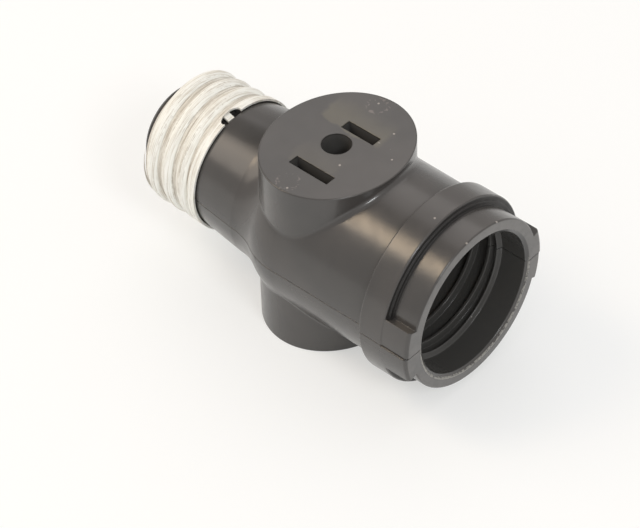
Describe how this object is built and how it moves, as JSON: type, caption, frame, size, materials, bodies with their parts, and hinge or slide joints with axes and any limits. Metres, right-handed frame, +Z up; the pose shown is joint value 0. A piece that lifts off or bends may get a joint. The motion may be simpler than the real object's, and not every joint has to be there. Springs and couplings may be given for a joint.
{
  "type": "two outlet socket adapter",
  "caption": "Adapter that screws into a lamp holder, with a lamp socket at its open end and an outlet on top and underneath.",
  "frame": {"origin": "centre of the hole in the lower outlet's flat face, on which the adapter lies", "axes": "+X along the screw axis towards the open lamp socket, +Z up through the upper outlet"},
  "size_m": [0.073, 0.0366, 0.0368],
  "materials": {
    "black_moulded_plastic": "satin moulded",
    "brushed_aluminium_shell": "dull brushed, worn",
    "black_tip_insulator": "matt",
    "brass_contact": "dull",
    "brass_strip": "rolled",
    "spring_bronze": "rolled",
    "steel_rivet": "dark"
  },
  "bodies": {
    "root": {"upper_body_half": "black_moulded_plastic", "lower_body_half": "black_moulded_plastic", "male_screw_shell": "brushed_aluminium_shell", "tip_insulator": "black_tip_insulator", "tip_contact": "brass_contact", "hot_strip": "brass_strip", "neutral_strip": "brass_strip", "upper_hot_jaw": "spring_bronze", "upper_neutral_jaw": "spring_bronze", "lower_hot_jaw": "spring_bronze", "lower_neutral_jaw": "spring_bronze", "hot_jaw_rivet": "brass_contact", "neutral_jaw_rivet": "brass_contact", "lamp_centre_contact": "spring_bronze", "tongue_rivet": "brass_contact", "body_rivet": "steel_rivet"}
  },
  "joints": []
}
